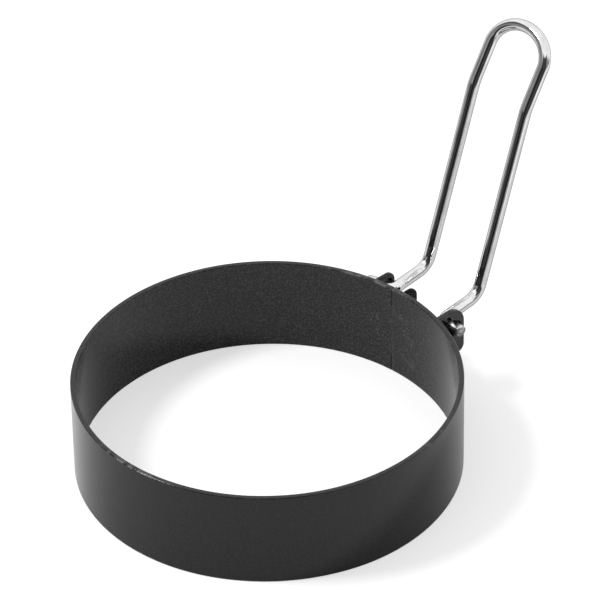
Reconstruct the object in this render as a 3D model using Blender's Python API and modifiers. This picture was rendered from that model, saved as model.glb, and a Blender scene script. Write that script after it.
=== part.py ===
"""Egg ring: a rolled and coated sheet band with a folding wire handle.

The handle turns on two feet that run through sheet ears on the band's outside.
Units are metres, +Z is up, and the handle leans out towards +X.
"""
import math

import bmesh
import bpy
from mathutils import Quaternion, Vector

# Band: one strip rolled into a ring, its ends butted at the seam
band_diameter = 0.0900
band_height = 0.0238
band_sheet = 0.0012
band_edge_round = 0.00015
seam_gap = 0.0003
seam_from_middle = 0.0036

# Handle: one round wire, its hinge line just outside the band
wire_diameter = 0.0030
hinge_from_band = 0.0035
hinge_below_rim = 0.0053
leg_spacing = 0.0166
left_foot_reach = 0.0155
right_foot_reach = 0.0148
foot_kink_from_leg = 0.0035
left_tip_inwards = 0.0008
left_tip_down = 0.0004
right_tip_inwards = 0.0002
right_tip_down = 0.0003
neck_length = 0.0119
neck_rise = 0.0011
lower_leg_length = 0.0476
upper_leg_length = 0.0101
loop_rise = 0.0070
foot_bend_radius = 0.0017
foot_kink_radius = 0.0030
neck_bend_radius = 0.0045
knee_bend_radius = 0.0150
cut_end_taper = 0.0003
cut_end_share = 0.85
lower_lean = math.radians(19.0)
upper_lean = math.radians(31.7)

# Brackets: a curved plate on the band's outside, with ears of thicker sheet standing out
plate_sheet = 0.0009
plate_below_rim = 0.0030
plate_past_ear = 0.0005
left_plate_height = 0.0158
left_plate_tail = 0.0060
right_plate_height = 0.0112
right_plate_tail = 0.0050
ear_sheet = 0.0012
ear_bottom_radius = 0.0018
neck_side_gap = 0.0028
left_ear_reach = 0.0032
left_ear_corner = 0.0023
left_ear_below_rim = 0.0022
inner_ear_drop = 0.0008
left_ear_low = 0.0085
right_ear_reach = 0.0029
right_ear_corner = 0.0045
right_ear_below_rim = 0.0001
right_ear_low = 0.0129
web_sheet = 0.0006
web_from_bend = 0.0010
slot_below_rim = 0.0006
slot_lip_from_hinge = 0.0023
slot_shoulder_rise = 0.0009
slot_lip_radius = 0.0005
slot_shoulder_radius = 0.0008
slot_seat_radius = 0.0015

# Clearances: running_gap parts the moving wire, seat_gap parts what is welded on
running_gap = 0.0003
seat_gap = 0.0003
cutter_overrun = 0.0020
weld_distance = 0.00001

# How finely round shapes are divided, and the finishes
band_steps = 120
wire_roundness = 6
hole_steps = 24
degrees_per_step = 9.0
plate_degrees_per_step = 3.0
sharp_edge = math.radians(60)
coating_colour = (0.045, 0.045, 0.047, 1.0)
coating_roughness = 0.42
coating_metallic = 0.3
wire_colour = (0.78, 0.78, 0.79, 1.0)
wire_roughness = 0.18
wire_metallic = 1.0

band_radius = band_diameter / 2
wire_radius = wire_diameter / 2
leg_half = leg_spacing / 2
plate_inner = band_radius + seat_gap
plate_outer = plate_inner + plate_sheet
hinge_height = band_height - hinge_below_rim
hole_radius = wire_radius + running_gap


def clear_scene():
    """Start from an empty scene."""
    for item in list(bpy.data.objects):
        bpy.data.objects.remove(item)


def new_collection(name):
    """Add a collection to the scene."""
    group = bpy.data.collections.new(name)
    bpy.context.scene.collection.children.link(group)
    return group


def coat(item, colour, roughness, metallic):
    """Give an object a Principled material of its own."""
    material = bpy.data.materials.new(item.name)
    material.use_nodes = True
    shader = material.node_tree.nodes["Principled BSDF"]
    shader.inputs["Base Color"].default_value = colour
    shader.inputs["Roughness"].default_value = roughness
    shader.inputs["Metallic"].default_value = metallic
    item.data.materials.append(material)


def fillet(corner, before, after, radius):
    """Points of the arc that rounds one corner of a path."""
    way_in = (corner - before).normalized()
    way_out = (after - corner).normalized()
    turn = way_in.angle(way_out)
    start = corner - way_in * radius * math.tan(turn / 2)
    centre = corner + (way_out - way_in).normalized() * radius / math.cos(turn / 2)
    hub = way_in.cross(way_out)
    steps = max(1, round(math.degrees(turn) / degrees_per_step))
    spoke = start - centre
    return [centre + Quaternion(hub, turn * i / steps) @ spoke for i in range(steps + 1)]


def rounded_outline(corners, radii):
    """A closed outline with each corner rounded, or left sharp at radius zero."""
    points = []
    for i, corner in enumerate(corners):
        before = corners[i - 1]
        after = corners[(i + 1) % len(corners)]
        if radii[i] > 0:
            points += fillet(corner, before, after, radii[i])
        else:
            points.append(corner)
    return points


def leg_bends():
    """The bends of one leg in the mirror plane, measured from the hinge line."""
    neck_end = Vector((neck_length, 0, neck_rise))
    lower_way = Vector((math.sin(lower_lean), 0, math.cos(lower_lean)))
    upper_way = Vector((math.sin(upper_lean), 0, math.cos(upper_lean)))
    knee = neck_end + lower_way * lower_leg_length
    loop_start = knee + upper_way * upper_leg_length
    return neck_end, knee, loop_start, upper_way


def half_path(side, foot_reach, tip_inwards, tip_down):
    """One side of the wire, from its cut end to the start of the top loop."""
    across = Vector((0, side, 0))
    foot_end = across * foot_reach - Vector((tip_inwards, 0, tip_down))
    corner = across * leg_half
    kink = corner + across * foot_kink_from_leg
    way = (kink - foot_end).normalized()
    neck_end, knee, loop_start, _ = leg_bends()
    path = [foot_end, foot_end + way * cut_end_taper]
    path += fillet(kink, foot_end, corner, foot_kink_radius)
    path += fillet(corner, kink, corner + neck_end, foot_bend_radius)
    path += fillet(corner + neck_end, corner, corner + knee, neck_bend_radius)
    path += fillet(corner + knee, corner + neck_end, corner + loop_start, knee_bend_radius)
    return path


def top_loop():
    """The rounded top of the handle, from the left leg over to the right one."""
    _, _, loop_start, upper_way = leg_bends()
    across = Vector((0, leg_half, 0))
    steps = round(math.degrees(math.pi) / degrees_per_step)
    points = []
    for i in range(steps + 1):
        turn = math.pi * i / steps
        rise = upper_way * loop_rise * math.sin(turn)
        points.append(loop_start + rise + across * math.cos(turn))
    return points


def handle_reach():
    """How far the handle stands out from the hinge line."""
    _, _, loop_start, upper_way = leg_bends()
    return (loop_start + upper_way * loop_rise).x + wire_radius


def make_handle():
    """The wire handle, its origin on the hinge line."""
    left = half_path(1, left_foot_reach, left_tip_inwards, left_tip_down)
    right = half_path(-1, right_foot_reach, right_tip_inwards, right_tip_down)
    path = left + top_loop() + right[::-1]
    curve = bpy.data.curves.new("wire_handle", "CURVE")
    curve.dimensions = "3D"
    curve.bevel_depth = wire_radius
    curve.bevel_resolution = wire_roundness
    curve.use_fill_caps = True
    spline = curve.splines.new("POLY")
    spline.points.add(len(path) - 1)
    for point, place in zip(spline.points, path):
        point.co = (*place, 1)
    for end in (spline.points[0], spline.points[-1]):
        end.radius = cut_end_share
    handle = bpy.data.objects.new("wire_handle", curve)
    handle.location = (hinge_x, 0, hinge_height)
    parts.objects.link(handle)
    coat(handle, wire_colour, wire_roughness, wire_metallic)


def turned_sheet(name, radius, low, high, angle, steps, sheet):
    """A sheet wall: an upright line turned about Z and thickened inwards."""
    mesh = bpy.data.meshes.new(name)
    mesh.from_pydata([(radius, 0, high), (radius, 0, low)], [(0, 1)], [])
    wall = bpy.data.objects.new(name, mesh)
    turn = wall.modifiers.new("turn", "SCREW")
    turn.angle = angle
    turn.steps = steps
    turn.render_steps = steps
    turn.use_merge_vertices = False
    thicken = wall.modifiers.new("thicken", "SOLIDIFY")
    thicken.thickness = sheet
    thicken.offset = -1
    wall.location.x = ring_x
    return wall


def make_band():
    """The rolled band, open by the seam's gap."""
    gap_angle = seam_gap / band_radius
    full = math.tau - gap_angle
    band = turned_sheet("ring_band", band_radius, 0, band_height, full, band_steps, band_sheet)
    band.rotation_euler.z = math.asin(seam_from_middle / band_radius) + gap_angle / 2
    soften = band.modifiers.new("soften", "BEVEL")
    soften.width = band_edge_round
    soften.segments = 1
    soften.limit_method = "ANGLE"
    soften.angle_limit = sharp_edge
    parts.objects.link(band)
    coat(band, coating_colour, coating_roughness, coating_metallic)


def as_guide(item):
    """Keep an object out of the model: it only cuts or joins."""
    item.hide_render = True
    item.display_type = "WIRE"
    cutters.objects.link(item)
    return item


def ear_outline(root, reach, top, low, corner_radius):
    """An ear seen along the hinge line, from the band out to its rounded corners."""
    face = hinge_x + reach
    corners = [Vector((root, 0, low)), Vector((face, 0, low))]
    corners += [Vector((face, 0, top)), Vector((root, 0, top))]
    return rounded_outline(corners, (0, ear_bottom_radius, corner_radius, 0))


def slotted_outline(root, reach, top, low, corner_radius):
    """The right ear's face: a slot runs in from the band and seats the wire."""
    face = hinge_x + reach
    slot_top = band_height - slot_below_rim
    slot_low = hinge_height - hole_radius
    seat = hinge_x + hole_radius
    corners = [Vector((root, 0, low)), Vector((face, 0, low))]
    corners += [Vector((face, 0, top)), Vector((root, 0, top))]
    corners += [Vector((root, 0, slot_top)), Vector((hinge_x - slot_lip_from_hinge, 0, slot_top))]
    corners += [Vector((seat, 0, hinge_height + slot_shoulder_rise)), Vector((seat, 0, slot_low))]
    corners.append(Vector((root, 0, slot_low)))
    radii = (0, ear_bottom_radius, corner_radius, 0, 0)
    radii += (slot_lip_radius, slot_shoulder_radius, slot_seat_radius, 0)
    return rounded_outline(corners, radii)


def wire_hole():
    """The round hole that a foot turns in."""
    points = []
    for i in range(hole_steps):
        turn = math.tau * i / hole_steps
        spoke = Vector((math.cos(turn), 0, math.sin(turn))) * hole_radius
        points.append(Vector((hinge_x, 0, hinge_height)) + spoke)
    return points


def make_ear(name, near, far, outlines):
    """Sheet cut to the outlines, between two distances from the mirror plane."""
    curve = bpy.data.curves.new(name, "CURVE")
    curve.dimensions = "2D"
    curve.fill_mode = "BOTH"
    curve.extrude = abs(far - near) / 2
    for outline in outlines:
        spline = curve.splines.new("POLY")
        spline.points.add(len(outline) - 1)
        for point, place in zip(spline.points, outline):
            point.co = (place.x, place.z, 0, 1)
        spline.use_cyclic_u = True
    flat = bpy.data.objects.new(name, curve)
    flat.rotation_euler.x = math.pi / 2
    flat.location.y = (near + far) / 2
    cutters.objects.link(flat)
    return solid_from(flat, name)


def solid_from(flat, name):
    """Turn a curve object into a welded mesh object in the same place."""
    bpy.context.view_layer.update()
    shaped = flat.evaluated_get(bpy.context.evaluated_depsgraph_get())
    mesh = bpy.data.meshes.new_from_object(shaped)
    welded = bmesh.new()
    welded.from_mesh(mesh)
    bmesh.ops.remove_doubles(welded, verts=welded.verts, dist=weld_distance)
    welded.to_mesh(mesh)
    welded.free()
    solid = bpy.data.objects.new(name, mesh)
    solid.matrix_world = flat.matrix_world.copy()
    bpy.data.objects.remove(flat)
    return as_guide(solid)


def make_band_space():
    """The round space that the brackets leave for the band."""
    depth = band_height + cutter_overrun
    bpy.ops.mesh.primitive_cylinder_add(vertices=band_steps, radius=plate_inner, depth=depth)
    space = bpy.context.object
    space.name = "band_space"
    space.location = (ring_x, 0, band_height / 2)
    for group in list(space.users_collection):
        group.objects.unlink(space)
    return as_guide(space)


def combine(item, other, operation):
    """Join or cut with an exact Boolean."""
    step = item.modifiers.new(other.name, "BOOLEAN")
    step.operation = operation
    step.solver = "EXACT"
    step.object = other


def band_root(near, far):
    """Where sheet between two distances from the mirror plane meets the band."""
    return ring_x + math.sqrt(band_radius ** 2 - max(near ** 2, far ** 2))


def make_bracket(name, ears, plate_height, first, last):
    """A bracket: its plate from first to last across the band, and its ears."""
    start = math.asin(first / band_radius)
    angle = math.asin(last / band_radius) - start
    steps = round(math.degrees(angle) / plate_degrees_per_step)
    top = band_height - plate_below_rim
    plate = turned_sheet(name, plate_outer, top - plate_height, top, angle, steps, plate_sheet)
    plate.rotation_euler.z = start
    for i, (near, far, outlines) in enumerate(ears):
        combine(plate, make_ear(name + "_ear_" + str(i), near, far, outlines), "UNION")
    combine(plate, band_space, "DIFFERENCE")
    parts.objects.link(plate)
    coat(plate, coating_colour, coating_roughness, coating_metallic)


def make_left_bracket():
    """The left bracket keeps the neck between an outer and an inner ear."""
    near = leg_half + foot_bend_radius + running_gap
    far = near + ear_sheet
    inner_far = leg_half - wire_radius - neck_side_gap
    inner_near = inner_far - ear_sheet
    top = band_height - left_ear_below_rim
    low = band_height - left_ear_low
    size = (left_ear_reach, top, low, left_ear_corner)
    outer = [ear_outline(band_root(near, far), *size), wire_hole()]
    size = (left_ear_reach, top - inner_ear_drop, low, left_ear_corner)
    inner = [ear_outline(band_root(inner_near, inner_far), *size)]
    ears = [(inner_near, inner_far, inner), (near, far, outer)]
    first = inner_near - left_plate_tail
    make_bracket("left_bracket", ears, left_plate_height, first, far + plate_past_ear)


def make_right_bracket():
    """The right bracket has one tall ear: a web with a hole, and a slotted face."""
    web_near = -leg_half - foot_bend_radius - web_from_bend
    web_far = web_near - web_sheet
    far = web_far - ear_sheet
    top = band_height - right_ear_below_rim
    low = band_height - right_ear_low
    size = (right_ear_reach, top, low, right_ear_corner)
    web = [ear_outline(band_root(web_near, web_far), *size), wire_hole()]
    face = [slotted_outline(band_root(web_far, far), *size)]
    ears = [(web_near, web_far, web), (web_far, far, face)]
    last = web_near + plate_past_ear
    make_bracket("right_bracket", ears, right_plate_height, far - right_plate_tail, last)


clear_scene()
ring_x = -(handle_reach() + hinge_from_band) / 2
hinge_x = ring_x + band_radius + hinge_from_band
parts = new_collection("egg_ring")
cutters = new_collection("egg_ring_cutters")
make_band()
band_space = make_band_space()
make_left_bracket()
make_right_bracket()
make_handle()
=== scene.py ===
import math

import bmesh
import bpy
from mathutils import Matrix, Vector, noise


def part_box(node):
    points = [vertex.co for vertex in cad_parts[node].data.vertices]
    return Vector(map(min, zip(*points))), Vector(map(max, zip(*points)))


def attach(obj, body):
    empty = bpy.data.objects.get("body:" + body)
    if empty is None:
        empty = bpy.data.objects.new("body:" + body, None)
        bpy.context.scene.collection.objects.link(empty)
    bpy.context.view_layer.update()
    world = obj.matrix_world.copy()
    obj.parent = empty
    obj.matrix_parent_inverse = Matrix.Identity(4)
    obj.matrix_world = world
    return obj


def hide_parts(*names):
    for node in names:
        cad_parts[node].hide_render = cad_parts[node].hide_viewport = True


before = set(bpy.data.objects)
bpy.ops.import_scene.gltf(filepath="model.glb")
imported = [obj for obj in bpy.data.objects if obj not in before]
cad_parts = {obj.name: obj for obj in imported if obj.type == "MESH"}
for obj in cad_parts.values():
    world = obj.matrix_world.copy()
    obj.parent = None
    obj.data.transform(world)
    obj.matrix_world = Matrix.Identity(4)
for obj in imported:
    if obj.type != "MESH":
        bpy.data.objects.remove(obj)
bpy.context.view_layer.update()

# Camera: the photograph was taken from the front left of the handle, 36 degrees
# above the table and a good metre off, with a long lens held almost level.
ring_low, ring_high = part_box("ring_band")
ring_centre = Vector(((ring_low.x + ring_high.x) / 2, 0, 0))
sight_turn = math.radians(43.5)
sight_drop = math.radians(36.15)
sight_roll = math.radians(0.99)
sight_length = 1.0404
sight_right = 0.00779
sight_up = 0.03627

level_right = Vector((math.cos(sight_turn), -math.sin(sight_turn), 0))
level_away = Vector((math.sin(sight_turn), math.cos(sight_turn), 0))
sight = level_away * math.cos(sight_drop) - Vector((0, 0, math.sin(sight_drop)))
upright = level_right.cross(sight)
aim = ring_centre + level_right * sight_right + upright * sight_up
picture_right = level_right * math.cos(sight_roll) - upright * math.sin(sight_roll)
picture_up = level_right * math.sin(sight_roll) + upright * math.cos(sight_roll)

lens = bpy.data.cameras.new("camera")
lens.sensor_width = 36
lens.lens = 270
lens.clip_start = 0.05
lens.clip_end = 10
camera = bpy.data.objects.new("camera", lens)
stance = Matrix((picture_right, picture_up, -sight)).transposed().to_4x4()
stance.translation = aim - sight * sight_length
camera.matrix_world = stance
bpy.context.scene.collection.objects.link(camera)
bpy.context.scene.camera = camera

# Ring band: one strip of 1.2 mm steel rolled into a ring 90 mm across, butted at the
# seam, tacked there and sprayed with a dark non-stick coating. The coat is rubbed thin
# on stretches of the edges, and painted glints in the same lighter colour lie on the
# stretches where the lamp's highlight falls on the rim. The spot welds of the brackets show faintly inside.
band_radius = 0.0450
band_height = 0.0238
band_sheet = 0.0012
band_edge_round = 0.00025
band_edge_steps = 6
band_wall_steps = 12
band_wall_start = 0.0004
band_stations = 540
band_wave = 0.00004
seam_gap = 0.00011
seam_from_middle = 0.0036
seam_round = 0.00006
seam_angle = math.asin(seam_from_middle / band_radius)
# Stretches of the rim where the coat is rubbed thin and painted glints lie where the lamp's highlight falls:
# middle angle, half width, most share.
rubbed_glint_stretches = [(-176, 11, 1.0), (12, 13, 0.9), (-75, 8, 0.4)]
rubbed_glint_elsewhere = 0.05
rub_glint_on_flats = 0.3
rub_glint_lost_at_bend_ends = 0.6


def fill_inputs(tree, item, inputs):
    """Set or link a node's inputs."""
    for name, value in inputs.items():
        if isinstance(value, bpy.types.NodeSocket):
            tree.links.new(value, item.inputs[name])
        else:
            item.inputs[name].default_value = value


def add_node(tree, kind, inputs=None, **settings):
    """Place a node, choose its settings, and fill its inputs."""
    item = tree.nodes.new(kind)
    for name, value in settings.items():
        setattr(item, name, value)
    fill_inputs(tree, item, inputs or {})
    return item


def new_effect(name, wanted, given):
    """Start a node group with named inputs and outputs."""
    effect = bpy.data.node_groups.new(name, "ShaderNodeTree")
    for label, kind, value in wanted:
        socket = effect.interface.new_socket(label, in_out="INPUT", socket_type=kind)
        if value is not None:
            socket.default_value = value
    for label, kind in given:
        effect.interface.new_socket(label, in_out="OUTPUT", socket_type=kind)
    return effect, effect.nodes.new("NodeGroupInput").outputs, effect.nodes.new("NodeGroupOutput")


def use_effect(tree, effect, inputs):
    """Place a node group in a material, with the values it has there."""
    item = tree.nodes.new("ShaderNodeGroup")
    item.node_tree = effect
    fill_inputs(tree, item, inputs)
    return item.outputs


def sums(tree, operation, first, second, clamp=False):
    """One step of arithmetic on the masks."""
    item = add_node(tree, "ShaderNodeMath", {0: first, 1: second}, operation=operation)
    item.use_clamp = clamp
    return item.outputs[0]


def vectors(tree, operation, first, second):
    """One step of arithmetic on places and directions."""
    return add_node(tree, "ShaderNodeVectorMath", {0: first, 1: second}, operation=operation).outputs


def between(tree, value, low, high, start=0.0, end=1.0):
    """Spread a range of values smoothly over another."""
    inputs = {0: value, 1: low, 2: high, 3: start, 4: end}
    return add_node(tree, "ShaderNodeMapRange", inputs, interpolation_type="SMOOTHSTEP").outputs[0]


def blend_colours(tree, share, first, second):
    """Blend two colours by a mask."""
    inputs = {0: share, 6: first, 7: second}
    return add_node(tree, "ShaderNodeMix", inputs, data_type="RGBA").outputs[2]


def noise_at(tree, place, scale, detail=2.0, roughness=0.5):
    """Noise that is fixed to the piece."""
    inputs = {"Vector": place, "Scale": scale, "Detail": detail, "Roughness": roughness}
    return add_node(tree, "ShaderNodeTexNoise", inputs).outputs[0]


def fine_grain_effect():
    """The orange-peel skin of a sprayed coat: a height, and the lighter specks."""
    wanted = [("Place", "NodeSocketVector", None), ("Grains per metre", "NodeSocketFloat", 2200.0)]
    given = [("Height", "NodeSocketFloat"), ("Specks", "NodeSocketFloat"), ("Clouds", "NodeSocketFloat")]
    effect, source, result = new_effect("fine grain", wanted, given)
    fine = noise_at(effect, source["Place"], source["Grains per metre"], 2.5, 0.6)
    coarse_share, cloud_share, coarse_weight = 0.31, 0.055, 0.8
    coarse_scale = sums(effect, "MULTIPLY", source["Grains per metre"], coarse_share)
    coarse = noise_at(effect, source["Place"], coarse_scale, 2.0, 0.5)
    cloud_scale = sums(effect, "MULTIPLY", source["Grains per metre"], cloud_share)
    clouds = noise_at(effect, source["Place"], cloud_scale, 3.0, 0.55)
    height = sums(effect, "ADD", fine, sums(effect, "MULTIPLY", coarse, coarse_weight))
    effect.links.new(height, result.inputs["Height"])
    effect.links.new(between(effect, fine, 0.42, 0.68), result.inputs["Specks"])
    effect.links.new(between(effect, clouds, 0.3, 0.7), result.inputs["Clouds"])
    return effect


def wear_glint_effect():
    """Where a coat is rubbed thin along the edges, and where painted glints lie on them, in broken patches.
    """
    wanted = [("Place", "NodeSocketVector", None), ("Edge", "NodeSocketFloat", 0.0)]
    wanted += [("Patches per metre", "NodeSocketFloat", 400.0), ("Reach", "NodeSocketFloat", 0.5)]
    effect, source, result = new_effect("wear and glint", wanted, [("Mask", "NodeSocketFloat")])
    patches = noise_at(effect, source["Place"], source["Patches per metre"], 4.0, 0.65)
    broken = sums(effect, "MULTIPLY", source["Edge"], between(effect, patches, 0.44, 0.58))
    worn_and_glint = sums(effect, "MULTIPLY", broken, source["Reach"], clamp=True)
    effect.links.new(worn_and_glint, result.inputs["Mask"])
    return effect


def spot_mark_effect():
    """A small blurred mark round one point, its outline uneven."""
    wanted = [("Place", "NodeSocketVector", None), ("Centre", "NodeSocketVector", None)]
    wanted += [("Radius", "NodeSocketFloat", 0.001), ("Softness", "NodeSocketFloat", 0.5)]
    effect, source, result = new_effect("spot mark", wanted, [("Mask", "NodeSocketFloat")])
    ragged = add_node(effect, "ShaderNodeTexNoise", {"Vector": source["Place"], "Scale": 900.0})
    middle = vectors(effect, "SUBTRACT", ragged.outputs[1], (0.5, 0.5, 0.5))[0]
    inputs = {0: middle, "Scale": source["Radius"]}
    push = add_node(effect, "ShaderNodeVectorMath", inputs, operation="SCALE").outputs[0]
    place = vectors(effect, "ADD", source["Place"], push)[0]
    reach = vectors(effect, "DISTANCE", place, source["Centre"])["Value"]
    share = sums(effect, "DIVIDE", reach, source["Radius"])
    inside = sums(effect, "SUBTRACT", 1.0, source["Softness"])
    effect.links.new(between(effect, share, inside, 1.0, 1.0, 0.0), result.inputs["Mask"])
    return effect


fine_grain = fine_grain_effect()
wear_glint = wear_glint_effect()
spot_mark = spot_mark_effect()
coat_dark = (0.0034, 0.0034, 0.0035, 1)
coat_speck = (0.0600, 0.0600, 0.0605, 1)
# Painted glint: this lighter colour of rubbed coat also stands for the lamp's highlights on the edges.
worn_glint_colour = (0.2200, 0.2180, 0.2160, 1)
coat_pit = (0.0030, 0.0030, 0.0030, 1)
coat_flake = (0.0750, 0.0750, 0.0750, 1)
coat_index = 1.49
coat_bump = 0.000011
coat_rough = (0.105, 0.155)
specks_where_thin = 0.22
relief_where_thick = 1.5
wear_glint_patches = 520.0
scorch_scale = 1500.0
weld_relief = 14.0
pit_depth = 4.0
sheen_range = (0.50, 0.88)
sheen_rough = 0.12


def coating(name, grains, wear_glint_reach, marks=(), pits=(), gloss=0.5):
    """The dark non-stick coat: grain, clouds, rubbed edges with painted glints, weld marks and pits."""
    material = bpy.data.materials.new(name)
    material.use_nodes = True
    tree = material.node_tree
    shader = tree.nodes["Principled BSDF"]
    place = add_node(tree, "ShaderNodeTexCoord").outputs["Object"]
    edge = add_node(tree, "ShaderNodeAttribute", attribute_name="edge").outputs["Fac"]
    thick = add_node(tree, "ShaderNodeAttribute", attribute_name="thick_coat").outputs["Fac"]
    grain = use_effect(tree, fine_grain, {"Place": place, "Grains per metre": grains})
    inputs = {"Place": place, "Edge": edge, "Patches per metre": wear_glint_patches, "Reach": wear_glint_reach}
    worn_and_glint = use_effect(tree, wear_glint, inputs)["Mask"]
    specks = sums(tree, "MULTIPLY", grain["Specks"], between(tree, thick, 0.0, 1.0, specks_where_thin, 1.0))
    colour = blend_colours(tree, specks, coat_dark, coat_speck)
    rough = between(tree, grain["Clouds"], 0.0, 1.0, *coat_rough)
    steeper = sums(tree, "ADD", sums(tree, "MULTIPLY", thick, relief_where_thick), 1.0)
    height = sums(tree, "MULTIPLY", grain["Height"], steeper)
    if marks:
        scorched = noise_at(tree, place, scorch_scale, 2.0, 0.6)
        dimple = between(tree, scorched, 0.56, 0.62)
        crest = between(tree, scorched, 0.44, 0.38)
    for centre, radius, softness in marks:
        inputs = {"Place": place, "Centre": centre, "Radius": radius, "Softness": softness}
        mark = use_effect(tree, spot_mark, inputs)["Mask"]
        colour = blend_colours(tree, sums(tree, "MULTIPLY", mark, dimple), colour, coat_pit)
        colour = blend_colours(tree, sums(tree, "MULTIPLY", mark, crest), colour, coat_flake)
        swollen = sums(tree, "MULTIPLY", mark, sums(tree, "MULTIPLY", scorched, weld_relief))
        height = sums(tree, "ADD", height, swollen)
    for centre, radius in pits:
        inputs = {"Place": place, "Centre": centre, "Radius": radius, "Softness": 0.4}
        pit = use_effect(tree, spot_mark, inputs)["Mask"]
        colour = blend_colours(tree, pit, colour, coat_pit)
        height = sums(tree, "SUBTRACT", height, sums(tree, "MULTIPLY", pit, pit_depth))
    # The lighter colour of rubbed coat, laid on the edges as painted glints too.
    colour = blend_colours(tree, worn_and_glint, colour, worn_glint_colour)
    relief = add_node(tree, "ShaderNodeBump", {"Height": height, "Distance": coat_bump, "Strength": 1.0})
    tree.links.new(colour, shader.inputs["Base Color"])
    tree.links.new(rough, shader.inputs["Roughness"])
    tree.links.new(relief.outputs[0], shader.inputs["Normal"])
    facing = add_node(tree, "ShaderNodeLayerWeight", {"Blend": 0.5}).outputs["Facing"]
    tree.links.new(between(tree, facing, *sheen_range, 0.0, gloss), shader.inputs["Coat Weight"])
    shader.inputs["Coat Roughness"].default_value = sheen_rough
    shader.inputs["IOR"].default_value = coat_index
    shader.inputs["Specular IOR Level"].default_value = gloss
    return material


def mark_points(piece, name, values, kind="FLOAT", field="value"):
    """Give each point of a piece a value that its material reads."""
    piece.data.attributes.new(name, kind, "POINT").data.foreach_set(field, values)


def skin(name, rows, edges):
    """A mesh skinned over rows of points, each row a closed loop, with both ends capped."""
    mesh = bpy.data.meshes.new(name)
    around = len(rows[0])
    faces = []
    for i in range(len(rows) - 1):
        here = i * around
        ahead = (i + 1) * around
        for j in range(around):
            beside = (j + 1) % around
            faces.append((here + j, here + beside, ahead + beside, ahead + j))
    faces.append(tuple(range(around))[::-1])
    faces.append(tuple(range((len(rows) - 1) * around, len(rows) * around)))
    mesh.from_pydata([point for row in rows for point in row], [], faces)
    tidy = bmesh.new()
    tidy.from_mesh(mesh)
    bmesh.ops.recalc_face_normals(tidy, faces=tidy.faces)
    tidy.to_mesh(mesh)
    tidy.free()
    mesh.shade_smooth()
    piece = bpy.data.objects.new(name, mesh)
    mark_points(piece, "edge", edges)
    bpy.context.scene.collection.objects.link(piece)
    return piece


def sheet_section(inset):
    """The strip's cross-section: its points from the axis and the floor, and its edges."""
    outer, inner = band_radius - inset, band_radius - band_sheet + inset
    top, bottom = band_height - inset, inset
    bend = band_edge_round
    corners = [(outer - bend, top - bend, 90), (inner + bend, top - bend, 180)]
    corners += [(inner + bend, bottom + bend, 270), (outer - bend, bottom + bend, 0)]
    points = []
    half = band_edge_steps // 2
    for k, (x, z, end) in enumerate(corners):
        for i in range(band_edge_steps + 1):
            turn = math.radians(end - 90 + 90 / band_edge_steps * i)
            worn_and_glint = 1 - abs(i - half) / half * rub_glint_lost_at_bend_ends
            points.append((x + bend * math.cos(turn), z + bend * math.sin(turn), worn_and_glint))
        steps = range(band_wall_steps + 1)
        if k == 1:
            fall = z - bottom - 2 * band_wall_start
            walls = [(inner, z - band_wall_start - i * fall / band_wall_steps) for i in steps]
        elif k == 3:
            rise = top - z - 2 * band_wall_start
            walls = [(outer, z + band_wall_start + i * rise / band_wall_steps) for i in steps]
        else:
            ahead = corners[(k + 1) % 4][0]
            walls = [(x + (ahead - x) * share, top if k == 0 else bottom) for share in (0.15, 0.5, 0.85)]
        points += [(a, b, rub_glint_on_flats if k in (0, 2) else 0.0) for a, b in walls]
    return points


def rolled(angle, radius, z):
    """A place on the band, with the slight unevenness of rolled sheet."""
    unit = Vector((math.cos(angle), math.sin(angle), 0))
    sway = noise.noise(Vector((unit.x * 1.7, unit.y * 1.7, z * 25))) * band_wave
    dip = abs(noise.noise(Vector((unit.x * 2.3, unit.y * 2.3, 7.5)))) * band_wave
    lift = Vector((0, 0, z + dip * (1 - 2 * z / band_height)))
    return ring_centre + unit * (radius - band_wave + sway) + lift


def rub_and_glint(angle):
    """How much of the coat is rubbed off the edges, with painted glint on them, at an angle of the band."""
    share = rubbed_glint_elsewhere
    for middle, half, most in rubbed_glint_stretches:
        away = abs((math.degrees(angle) - middle + 180) % 360 - 180) / half
        share = max(share, most * math.exp(-away * away))
    return share


half_gap = seam_gap / 2 / band_radius
ends = [(0.0, seam_round), (seam_round * 0.4, seam_round * 0.4), (seam_round, 0.0)]
stations = [(half_gap + along / band_radius, inset) for along, inset in ends]
first, last = stations[-1][0], math.tau - stations[-1][0]
stations += [(first + (last - first) * i / band_stations, 0.0) for i in range(1, band_stations)]
stations += [(math.tau - angle, inset) for angle, inset in stations[:3]][::-1]
rows, edges, coats = [], [], []
for angle, inset in stations:
    section = sheet_section(inset)
    rows.append([rolled(seam_angle + angle, radius, z) for radius, z, _ in section])
    edges += [edge * rub_and_glint(seam_angle + angle) for _, _, edge in section]
    coats += [1.0 if radius < band_radius - band_sheet * 0.9 else 0.0 for radius, _, _ in section]
band = skin("band", rows, edges)
mark_points(band, "thick_coat", coats)


def on_ring(radius, turn, z):
    """A place round the ring's axis, by its turn from the handle's side."""
    return ring_centre + Vector((radius * math.cos(turn), radius * math.sin(turn), z))


weld_marks = []
for degrees, z, size, softness in [
    (2.0, 0.0178, 0.0019, 0.6),
    (-0.9, 0.0172, 0.0019, 0.6),
    (10.4, 0.0135, 0.0026, 0.6),
    (8.4, 0.0098, 0.0022, 0.6),
    (-2.2, 0.0138, 0.0024, 0.7),
    (-5.0, 0.0114, 0.0020, 0.7),
    (-1.5, 0.0070, 0.0024, 0.6),
    (-4.4, 0.0058, 0.0022, 0.6),
]:
    weld_marks.append((on_ring(band_radius - band_sheet, math.radians(degrees), z), size, softness))
band_pits = []
for degrees, z, size in [(-76.5, 0.0152, 0.00035), (-60.0, 0.0136, 0.00035), (-56.7, 0.0208, 0.0003)]:
    band_pits.append((on_ring(band_radius, math.radians(degrees), z), size))
band_coat = coating("band_coat", grains=2300.0, wear_glint_reach=1.4, marks=weld_marks, pits=band_pits)
band.data.materials.append(band_coat)
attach(band, "ring")
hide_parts("ring_band")

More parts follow.
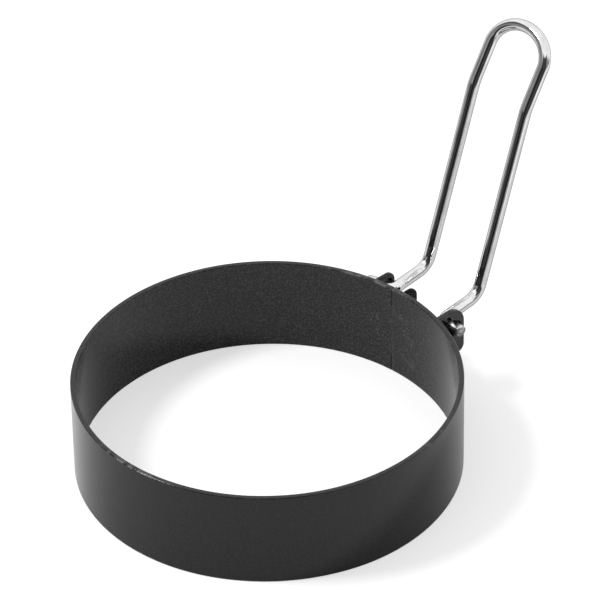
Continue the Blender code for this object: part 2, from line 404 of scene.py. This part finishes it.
# Seam tack: the bead that joins the two ends of the strip half way up the seam,
# ground almost flush before the band was coated.
tack_low = 0.0050
tack_high = 0.0186
tack_half_width = 0.00075
tack_proud = 0.00003
tack_crown = 0.00012
tack_narrowest = 0.2
tack_rows = 70
tack_half_steps = 8
rows, edges = [], []
for i in range(tack_rows + 1):
    share = i / tack_rows
    z = tack_low + (tack_high - tack_low) * share
    taper = math.sqrt(max(0.0, 1 - (2 * share - 1) ** 6))
    ripple = noise.noise(Vector((0, 3.1, z * 700))) * tack_proud * 0.7
    outer = band_radius - tack_proud * 2 - band_wave * 2
    inner = band_radius - band_sheet - tack_proud * (1 - 2 * (1 - taper)) - band_wave + ripple
    spread = tack_half_width * max(taper, tack_narrowest)
    row = []
    for j in range(2 * tack_half_steps + 1):
        across = j / tack_half_steps - 1
        angle = seam_angle + spread * across / band_radius
        row.append(on_ring(inner + tack_crown * across ** 2, angle, z))
    for j in range(2 * tack_half_steps + 1):
        across = 1 - j / tack_half_steps
        angle = seam_angle + spread * across / band_radius
        row.append(on_ring(outer, angle, z))
    rows.append(row)
    edges += [0.0] * len(row)
tack = skin("seam_tack", rows, edges)
mark_points(tack, "thick_coat", [1.0] * len(edges))
tack.data.materials.append(coating("tack_coat", grains=2300.0, wear_glint_reach=0.9))
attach(tack, "ring")

# Left bracket: a curved plate spot-welded over the seam, with two ears of thicker
# sheet welded to it. The outer ear is made here, and carries the handle's left foot.
# The inner one, which keeps the foot there, comes next.
wire_radius = 0.0015
hinge_off_band = 0.0035
hinge_below_rim = 0.0053
hinge_x = ring_centre.x + band_radius + hinge_off_band
hinge_height = band_height - hinge_below_rim
leg_half = 0.0083
running_gap = 0.0003
foot_bend = 0.0017
hole_pinch = 0.00005
hole_steps = 48
ear_sheet = 0.0012
ear_reach = 0.0032
ear_corner = 0.0023
ear_bottom = 0.0018
ear_in_band = 0.0001
plate_sheet = 0.0009
plate_coat = 0.00025
plate_corner = 0.0012
plate_edge_round = 0.0002
plate_off_band = 0.00002
plate_bends = 24
plate_below_rim = 0.0030
weld_voxel = 0.00010
bulge_ignored = 0.02
bulge_gain = 9


def rounded(corners, radii):
    """A closed outline with its corners rounded."""
    points = []
    for i, corner in enumerate(corners):
        before, after = corners[i - 1], corners[(i + 1) % len(corners)]
        if radii[i] == 0:
            points.append(corner)
            continue
        way_in, way_out = (corner - before).normalized(), (after - corner).normalized()
        turn = way_in.angle(way_out)
        start = corner - way_in * radii[i] * math.tan(turn / 2)
        centre = corner + (way_out - way_in).normalized() * radii[i] / math.cos(turn / 2)
        side = 1 if way_in.x * way_out.y > way_in.y * way_out.x else -1
        steps = max(2, round(math.degrees(turn) / 7.5))
        spoke = start - centre
        for k in range(steps + 1):
            points.append(centre + Matrix.Rotation(side * turn * k / steps, 2) @ spoke)
    return points


def cut_sheet(outlines, thickness, edge):
    """Sheet cut to the outlines, lying flat, its edges rounded."""
    curve = bpy.data.curves.new("cut_sheet", "CURVE")
    curve.dimensions = "2D"
    curve.fill_mode = "BOTH"
    curve.extrude = thickness / 2 - edge
    curve.bevel_depth = edge
    curve.bevel_resolution = 2
    curve.offset = -edge
    for outline in outlines:
        spline = curve.splines.new("POLY")
        spline.points.add(len(outline) - 1)
        for point, place in zip(spline.points, outline):
            point.co = (place.x, place.y, 0, 1)
        spline.use_cyclic_u = True
    flat = bpy.data.objects.new("cut_sheet", curve)
    bpy.context.scene.collection.objects.link(flat)
    bpy.context.view_layer.update()
    mesh = bpy.data.meshes.new_from_object(flat.evaluated_get(bpy.context.evaluated_depsgraph_get()))
    bpy.data.objects.remove(flat)
    shape = bmesh.new()
    shape.from_mesh(mesh)
    bmesh.ops.remove_doubles(shape, verts=shape.verts, dist=0.000005)
    bpy.data.meshes.remove(mesh)
    return shape


def band_root(near, far):
    """Where sheet between two distances from the handle's middle meets the band."""
    return ring_centre.x + math.sqrt(band_radius ** 2 - max(near ** 2, far ** 2)) - ear_in_band


def ear_outline(root, reach, top, low, corner):
    """An ear seen along the hinge line, from the band out to its rounded corners."""
    face = hinge_x + reach
    corners = [Vector((root, low)), Vector((face, low)), Vector((face, top)), Vector((root, top))]
    return rounded(corners, (0, ear_bottom, corner, 0))


def wire_hole():
    """The round hole that a foot turns in, a little tight so that no light shows past it."""
    radius = wire_radius - hole_pinch
    middle = Vector((hinge_x, hinge_height))
    turns = [math.tau * i / hole_steps for i in range(hole_steps)]
    return [middle + Vector((radius * math.cos(turn), radius * math.sin(turn))) for turn in turns]


def standing_ear(near, far, outlines, edge):
    """Sheet cut to the outlines and stood up across the hinge line."""
    shape = cut_sheet(outlines, abs(far - near), edge)
    stand = Matrix.Translation((0, (near + far) / 2, 0)) @ Matrix.Rotation(math.pi / 2, 4, "X")
    bmesh.ops.transform(shape, matrix=stand, verts=shape.verts)
    return shape


def curved_plate(first, last, height):
    """The plate that lies against the band, its corners rounded."""
    top = band_height - plate_below_rim
    start = math.asin(first / band_radius)
    end = math.asin(last / band_radius)
    length = (end - start) * band_radius
    low = top - height
    thickness = plate_sheet + plate_coat
    corners = [Vector((0, low)), Vector((length, low)), Vector((length, top)), Vector((0, top))]
    shape = cut_sheet([rounded(corners, (plate_corner,) * 4)], thickness, plate_edge_round)
    for i in range(1, plate_bends):
        everything = shape.verts[:] + shape.edges[:] + shape.faces[:]
        line = (length * i / plate_bends, 0, 0)
        bmesh.ops.bisect_plane(shape, geom=everything, plane_co=line, plane_no=(1, 0, 0))
    middle = band_radius + plate_off_band + thickness / 2
    for vert in shape.verts:
        vert.co = on_ring(middle + vert.co.z, start + vert.co.x / band_radius, vert.co.y)
    return shape


def welded_bracket(name, shapes):
    """Join the pieces of a bracket into one, with the coat filling the corners."""
    mesh = bpy.data.meshes.new(name)
    joined = bmesh.new()
    for shape in shapes:
        part = bpy.data.meshes.new(name)
        bmesh.ops.recalc_face_normals(shape, faces=shape.faces)
        shape.to_mesh(part)
        shape.free()
        joined.from_mesh(part)
        bpy.data.meshes.remove(part)
    joined.to_mesh(mesh)
    joined.free()
    rough = bpy.data.objects.new(name, mesh)
    bpy.context.scene.collection.objects.link(rough)
    fuse = rough.modifiers.new("fuse", "REMESH")
    fuse.mode = "VOXEL"
    fuse.voxel_size = weld_voxel
    soften = rough.modifiers.new("soften", "SMOOTH")
    soften.factor = 0.5
    soften.iterations = 5
    bpy.context.view_layer.update()
    fused = bpy.data.meshes.new_from_object(rough.evaluated_get(bpy.context.evaluated_depsgraph_get()))
    bpy.data.objects.remove(rough)
    piece = bpy.data.objects.new(name, fused)
    bpy.context.scene.collection.objects.link(piece)
    shape = bmesh.new()
    shape.from_mesh(fused)
    shape.normal_update()
    bulge = []
    for vert in shape.verts:
        beside = [edge.other_vert(vert).co for edge in vert.link_edges]
        mean = sum(beside, Vector()) / max(1, len(beside))
        bulge.append((vert.co - mean).dot(vert.normal) / weld_voxel)
    shape.free()
    mark_points(piece, "edge", [max(0.0, min(1.0, (value - bulge_ignored) * bulge_gain)) for value in bulge])
    fused.shade_smooth()
    return piece


left_near = leg_half + foot_bend + running_gap
left_far = left_near + ear_sheet
keeper_from_wire = 0.0028
keeper_far = leg_half - wire_radius - keeper_from_wire
keeper_near = keeper_far - ear_sheet
left_top = band_height - 0.0022
left_low = band_height - 0.0085
left_edge_round = 0.00035
left_plate_height = 0.0158
left_plate_start = keeper_near - 0.0060
left_plate_end = left_far + 0.0005
left_outline = ear_outline(band_root(left_near, left_far), ear_reach, left_top, left_low, ear_corner)
left_pieces = [curved_plate(left_plate_start, left_plate_end, left_plate_height)]
left_pieces.append(standing_ear(left_near, left_far, [left_outline, wire_hole()], left_edge_round))
left_bracket = welded_bracket("bracket_left", left_pieces)
left_coat = coating("left_bracket_coat", grains=2600.0, wear_glint_reach=0.5, gloss=0.32)
left_bracket.data.materials.append(left_coat)
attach(left_bracket, "ring")
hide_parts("left_bracket")

# Keeper ear: the left bracket's inner ear, a cut tab welded to the plate inside the
# handle's leg. The coat lies thicker and duller on it than on the parts around it.
keeper_top = left_top - 0.0008
keeper_edge_round = 0.00045
keeper_root = band_root(keeper_near, keeper_far)
keeper_outline = ear_outline(keeper_root, ear_reach, keeper_top, left_low, ear_corner)
keeper_sheet = standing_ear(keeper_near, keeper_far, [keeper_outline], keeper_edge_round)
keeper_ear = welded_bracket("keeper_ear", [keeper_sheet])
keeper_coat = coating("keeper_coat", grains=2600.0, wear_glint_reach=0.35, gloss=0.10)
keeper_ear.data.materials.append(keeper_coat)
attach(keeper_ear, "ring")
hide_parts("left_bracket")

# Right bracket: a narrower plate with one tall ear. A thin web carries the handle's
# right foot, and the slotted sheet in front of it gives the foot its seat.
web_sheet = 0.0006
web_from_bend = 0.0006
web_near = -leg_half - foot_bend - web_from_bend
web_far = web_near - web_sheet
web_top = hinge_height + 0.0030
right_reach = 0.0029
web_reach = right_reach - 0.0004
web_corner = 0.0018
web_edge_round = 0.0001
right_from_bend = 0.0016
right_near = -leg_half - foot_bend - right_from_bend
right_far = right_near - ear_sheet
right_top = band_height
right_low = band_height - 0.0129
right_corner = 0.0045
right_edge_round = 0.00022
right_plate_height = 0.0112
right_plate_start = right_far - 0.0050
right_plate_end = right_near + 0.0011
slot_below_rim = 0.0011
slot_lip_from_hinge = 0.0021
slot_lip_round = 0.0006
slot_step_from_hinge = 0.0006
slot_step_rise = 0.0025
slot_step_round = 0.0006
slot_shoulder_rise = 0.0009
slot_shoulder_round = 0.0005
slot_seat_round = 0.0015


def slotted_outline(root):
    """The right ear's face: a slot runs in from the band and seats the wire."""
    face = hinge_x + right_reach
    hole = wire_radius + running_gap
    slot_top = band_height - slot_below_rim
    corners = [(root, right_low), (face, right_low), (face, right_top), (root, right_top), (root, slot_top)]
    corners.append((hinge_x - slot_lip_from_hinge, slot_top))
    corners.append((hinge_x - slot_step_from_hinge, hinge_height + slot_step_rise))
    corners.append((hinge_x + hole, hinge_height + slot_shoulder_rise))
    corners += [(hinge_x + hole, hinge_height - hole), (root, hinge_height - hole)]
    radii = (0, ear_bottom, right_corner, 0, 0)
    radii += (slot_lip_round, slot_step_round, slot_shoulder_round, slot_seat_round, 0)
    return rounded([Vector(corner) for corner in corners], radii)


web_outline = ear_outline(band_root(web_near, right_far), web_reach, web_top, right_low, web_corner)
right_outline = slotted_outline(band_root(right_near, right_far))
right_pieces = [curved_plate(right_plate_start, right_plate_end, right_plate_height)]
right_pieces.append(standing_ear(web_near, web_far, [web_outline, wire_hole()], web_edge_round))
right_pieces.append(standing_ear(right_near, right_far, [right_outline], right_edge_round))
right_bracket = welded_bracket("bracket_right", right_pieces)
right_bracket.data.materials.append(coating("right_bracket_coat", grains=2600.0, wear_glint_reach=0.5))
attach(right_bracket, "ring")
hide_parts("right_bracket")

# Wire handle: 3 mm bright steel wire, bent round a peg at the top and once at each
# neck, its two feet sprung into the brackets. It is drawn and polished, with fine
# lines along it, small waves left by the bending, and sheared ends.
neck = Vector((0.0119, 0, 0.0011))
lower_lean = math.radians(19.0)
upper_lean = math.radians(31.7)
lower_length = 0.0476
upper_length = 0.0101
loop_rise = 0.0070
loop_steps = 60
lower_way = Vector((math.sin(lower_lean), 0, math.cos(lower_lean)))
upper_way = Vector((math.sin(upper_lean), 0, math.cos(upper_lean)))
knee = neck + lower_way * lower_length
loop_start = knee + upper_way * upper_length
kink_from_leg = 0.0035
kink_bend = 0.0030
neck_bend = 0.0045
knee_bend = 0.0150
wire_around = 48
wire_step = 0.0008
wire_skin = 0.000020
wire_swell = 0.000008
cut_length = 0.0001
cut_slant = 0.00012
shear_length = 0.0004
dull_length = 0.0050
dull_fade = 0.0010


def bend(corner, before, after, radius):
    """Points of the bend that rounds one corner of the wire."""
    way_in, way_out = (corner - before).normalized(), (after - corner).normalized()
    turn = way_in.angle(way_out)
    start = corner - way_in * radius * math.tan(turn / 2)
    centre = corner + (way_out - way_in).normalized() * radius / math.cos(turn / 2)
    steps = max(4, round(math.degrees(turn) / 3))
    spoke = start - centre
    hub = way_in.cross(way_out)
    return [centre + Matrix.Rotation(turn * i / steps, 3, hub) @ spoke for i in range(steps + 1)]


def leg(side, foot_reach, tip_inwards, tip_down):
    """One side of the wire, from its cut end to the start of the top bend."""
    across = Vector((0, side, 0))
    end = across * foot_reach - Vector((tip_inwards, 0, tip_down))
    corner = across * leg_half
    kink = corner + across * kink_from_leg
    path = [end]
    path += bend(kink, end, corner, kink_bend)
    path += bend(corner, kink, corner + neck, foot_bend)
    path += bend(corner + neck, corner, corner + knee, neck_bend)
    path += bend(corner + knee, corner + neck, corner + loop_start, knee_bend)
    return path


top = []
for i in range(loop_steps + 1):
    turn = math.pi * i / loop_steps
    across = Vector((0, leg_half * math.cos(turn), 0))
    top.append(loop_start + upper_way * loop_rise * math.sin(turn) + across)
left_leg = leg(1, foot_reach=0.0155, tip_inwards=0.0008, tip_down=0.0004)
right_leg = leg(-1, foot_reach=0.0148, tip_inwards=0.0002, tip_down=0.0)
corners = left_leg + top + right_leg[::-1]
path = [corners[0]]
for start, end in zip(corners, corners[1:]):
    steps = max(1, math.ceil((end - start).length / wire_step))
    path += [start.lerp(end, i / steps) for i in range(1, steps + 1)]
path = [point for i, point in enumerate(path) if i == 0 or (point - path[i - 1]).length > 0.00002]

hinge = Vector((hinge_x, 0, hinge_height))
rows, places, ends_cut, ends_dull = [], [], [], []
along = 0.0
side = Vector((1, 0, 0))
total = sum((b - a).length for a, b in zip(path, path[1:]))
for i, point in enumerate(path):
    ahead, behind = path[min(i + 1, len(path) - 1)], path[max(i - 1, 0)]
    way = (ahead - behind).normalized()
    along += (point - behind).length if i else 0.0
    side = (side - way * side.dot(way)).normalized()
    over = way.cross(side)
    from_end = min(along, total - along)
    shear = 1 - 0.1 * max(0.0, 1 - from_end / shear_length) ** 2
    row = []
    for j in range(wire_around):
        turn = math.tau * j / wire_around
        ray = side * math.cos(turn) + over * math.sin(turn)
        swell = noise.noise(Vector((math.cos(turn) * 0.8, math.sin(turn) * 0.8, along * 160))) * wire_swell
        slant = way * (ray.z * cut_slant if from_end < cut_length / 10 else 0.0)
        row.append(hinge + point + ray * (wire_radius * shear - wire_skin + swell) + slant)
        places += [wire_radius * math.cos(turn), wire_radius * math.sin(turn), along]
        ends_cut.append(1.0 if from_end < cut_length else 0.0)
        ends_dull.append(max(0.0, min(1.0, (dull_length - from_end) / dull_fade)))
    rows.append(row)
wire = skin("handle_wire", rows, ends_cut)
mark_points(wire, "along_wire", places, kind="FLOAT_VECTOR", field="vector")
mark_points(wire, "dull_end", ends_dull)

wire_bright = (0.88, 0.88, 0.88, 1)
wire_clouded = (0.76, 0.76, 0.765, 1)
wire_line = (0.42, 0.42, 0.42, 1)
# Painted shade: the wire's colour towards its outline, where it turns away from the camera.
painted_edge_shade = (0.40, 0.40, 0.40, 1)
cut_dark = (0.20, 0.20, 0.20, 1)
cut_light = (0.85, 0.85, 0.85, 1)
bright = bpy.data.materials.new("bright_wire")
bright.use_nodes = True
tree = bright.node_tree
shader = tree.nodes["Principled BSDF"]
place = add_node(tree, "ShaderNodeAttribute", attribute_name="along_wire").outputs["Vector"]
cut = add_node(tree, "ShaderNodeAttribute", attribute_name="edge").outputs["Fac"]
dull = add_node(tree, "ShaderNodeAttribute", attribute_name="dull_end").outputs["Fac"]
drawn = add_node(tree, "ShaderNodeMapping", {"Vector": place, "Scale": (1, 1, 0.02)}).outputs[0]
lines = noise_at(tree, drawn, 5200.0, 3.0, 0.6)
rolling = add_node(tree, "ShaderNodeMapping", {"Vector": place, "Scale": (1, 1, 0.55)}).outputs[0]
waves = noise_at(tree, rolling, 420.0, 1.0, 0.4)
smudge = noise_at(tree, place, 330.0, 3.0, 0.6)
shear_marks = noise_at(tree, place, 2300.0, 3.0, 0.65)
colour = blend_colours(tree, between(tree, smudge, 0.35, 0.7), wire_bright, wire_clouded)
line_share = sums(tree, "MULTIPLY", between(tree, lines, 0.56, 0.66), 0.6)
colour = blend_colours(tree, line_share, colour, wire_line)
sheared = blend_colours(tree, between(tree, shear_marks, 0.45, 0.55), cut_dark, cut_light)
colour = blend_colours(tree, cut, colour, sheared)
# Painted shade: the wire's colour darkens towards its outline, where its surface turns away from the camera.
facing = add_node(tree, "ShaderNodeLayerWeight", {"Blend": 0.5}).outputs["Facing"]
colour = blend_colours(tree, between(tree, facing, 0.36, 0.72), colour, painted_edge_shade)
gloss = between(tree, lines, 0.3, 0.75, 0.035, 0.10)
gloss = sums(tree, "ADD", gloss, sums(tree, "MULTIPLY", cut, 0.25))
gloss = sums(tree, "ADD", gloss, sums(tree, "MULTIPLY", dull, 0.22))
relief = sums(tree, "ADD", sums(tree, "MULTIPLY", lines, 0.05), waves)
torn = sums(tree, "MULTIPLY", sums(tree, "MULTIPLY", shear_marks, cut), 3.0)
relief = sums(tree, "ADD", relief, torn)
bump = add_node(tree, "ShaderNodeBump", {"Height": relief, "Distance": 0.00003, "Strength": 1.0})
tree.links.new(colour, shader.inputs["Base Color"])
tree.links.new(gloss, shader.inputs["Roughness"])
tree.links.new(bump.outputs[0], shader.inputs["Normal"])
shader.inputs["Metallic"].default_value = 1.0
wire.data.materials.append(bright)
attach(wire, "handle")
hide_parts("wire_handle")

# Table: a plain white board. What its own colour lacks of paper white is added for
# the camera and for reflections, so that only the shadows stand out on it.
table_radius = 0.22
table_back = 0.135
paper_shades = ((0.86, 0.86, 0.86, 1), (0.88, 0.88, 0.88, 1))
lift_seen = 0.49
lift_mirrored = 0.04
board = bmesh.new()
bmesh.ops.create_circle(board, cap_ends=True, radius=table_radius, segments=128)
board_mesh = bpy.data.meshes.new("table")
board.to_mesh(board_mesh)
board.free()
table = bpy.data.objects.new("table", board_mesh)
table.location = ring_centre + level_away * table_back
bpy.context.scene.collection.objects.link(table)
paper = bpy.data.materials.new("paper")
paper.use_nodes = True
tree = paper.node_tree
shader = tree.nodes["Principled BSDF"]
paper_place = add_node(tree, "ShaderNodeTexCoord").outputs["Object"]
fibres = noise_at(tree, paper_place, 700.0, 3.0, 0.6)
shade = blend_colours(tree, between(tree, fibres, 0.0, 1.0), *paper_shades)
tree.links.new(shade, shader.inputs["Base Color"])
shader.inputs["Roughness"].default_value = 0.9
shader.inputs["Specular IOR Level"].default_value = 0.0
rays = add_node(tree, "ShaderNodeLightPath").outputs
seen = sums(tree, "ADD", rays["Is Camera Ray"], rays["Is Transmission Ray"], clamp=True)
shader.inputs["Emission Color"].default_value = (1, 1, 1, 1)
mirrored = sums(tree, "MULTIPLY", rays["Is Glossy Ray"], lift_mirrored)
lift = sums(tree, "MAXIMUM", sums(tree, "MULTIPLY", seen, lift_seen), mirrored)
tree.links.new(lift, shader.inputs["Emission Strength"])
table.data.materials.append(paper)

# Light: a large white room gives most of it, and one small soft lamp to the left of
# the picture gives the key. Patches of the room are dark where the metal mirrors them.
lamp_light = bpy.data.lights.new("key_lamp", "AREA")
lamp_light.shape = "DISK"
lamp_light.size = 0.27
lamp_light.energy = 4.5
lamp = bpy.data.objects.new("key_lamp", lamp_light)
lamp_rise = math.radians(54.5)
lamp_turn = math.radians(3)
lamp_distance = 1.1
room_level = 0.55
lamp_side = -level_right * math.cos(lamp_turn) - level_away * math.sin(lamp_turn)
lamp_way = lamp_side * math.cos(lamp_rise) + Vector((0, 0, math.sin(lamp_rise)))
lamp.location = ring_centre + lamp_way * lamp_distance
lamp.rotation_mode = "QUATERNION"
lamp.rotation_quaternion = lamp_way.to_track_quat("Z", "Y")
bpy.context.scene.collection.objects.link(lamp)

room = bpy.data.worlds.new("room")
bpy.context.scene.world = room
room.use_nodes = True
tree = room.node_tree
glow = tree.nodes["Background"]
way = add_node(tree, "ShaderNodeTexCoord").outputs["Generated"]
height = add_node(tree, "ShaderNodeSeparateXYZ", {0: way}).outputs["Z"]
rays = add_node(tree, "ShaderNodeLightPath").outputs
to_front = vectors(tree, "DOT_PRODUCT", way, -level_away)["Value"]
to_right = vectors(tree, "DOT_PRODUCT", way, level_right)["Value"]
turn = sums(tree, "ARCTAN2", to_right, to_front)
rise = add_node(tree, "ShaderNodeMath", {0: height}, operation="ARCSINE").outputs[0]


def sector(turns, rises, soft_turn, soft_rise, depth):
    """A dark patch of the room, by its turn from the camera's side and its height, in degrees."""
    left, right = [math.radians(angle) for angle in turns]
    low, high = [math.radians(angle) for angle in rises]
    soft_turn, soft_rise = math.radians(soft_turn), math.radians(soft_rise)
    across = between(tree, turn, left - soft_turn, left + soft_turn, 0.0, depth)
    beyond = between(tree, turn, right - soft_turn, right + soft_turn, 0.0, depth)
    across = sums(tree, "SUBTRACT", across, beyond)
    up = between(tree, rise, low - soft_rise, low + soft_rise)
    up = sums(tree, "SUBTRACT", up, between(tree, rise, high - soft_rise, high + soft_rise))
    return sums(tree, "MULTIPLY", across, up, clamp=True)


patches = [((-74, 46), (-12, 10), 7, 3.0, 0.955), ((-25, -6), (-14, 26), 4, 3.0, 1.0)]
patches += [((-48, 44), (6, 45), 6, 3.0, 0.95), ((-118, -50), (-12, 34), 8, 2.5, 0.74)]
patches += [((40, 70), (-8, 27), 7, 3.0, 0.74), ((68, 90), (-8, 6), 5, 2.0, 0.88)]
patches += [((-2, 28), (-28, -10), 6, 3.0, 0.62), ((-112, -74), (17, 39), 7, 4.0, 0.90)]
dark = sector(*patches[0])
for patch in patches[1:]:
    dark = sums(tree, "MAXIMUM", dark, sector(*patch))
mirrored = sums(tree, "SUBTRACT", 1.0, dark)
seen = sums(tree, "ADD", rays["Is Camera Ray"], rays["Is Transmission Ray"], clamp=True)
strength = sums(tree, "MAXIMUM", seen, sums(tree, "MULTIPLY", rays["Is Glossy Ray"], mirrored))
open_ray = sums(tree, "SUBTRACT", 1.0, sums(tree, "MAXIMUM", seen, rays["Is Glossy Ray"]))
plain = between(tree, to_front, -1.0, 1.0, room_level * 1.2, room_level * 0.8)
strength = sums(tree, "ADD", strength, sums(tree, "MULTIPLY", open_ray, plain))
glow.inputs["Color"].default_value = (1, 1, 1, 1)
tree.links.new(strength, glow.inputs["Strength"])
bpy.context.scene.view_settings.view_transform = "Standard"
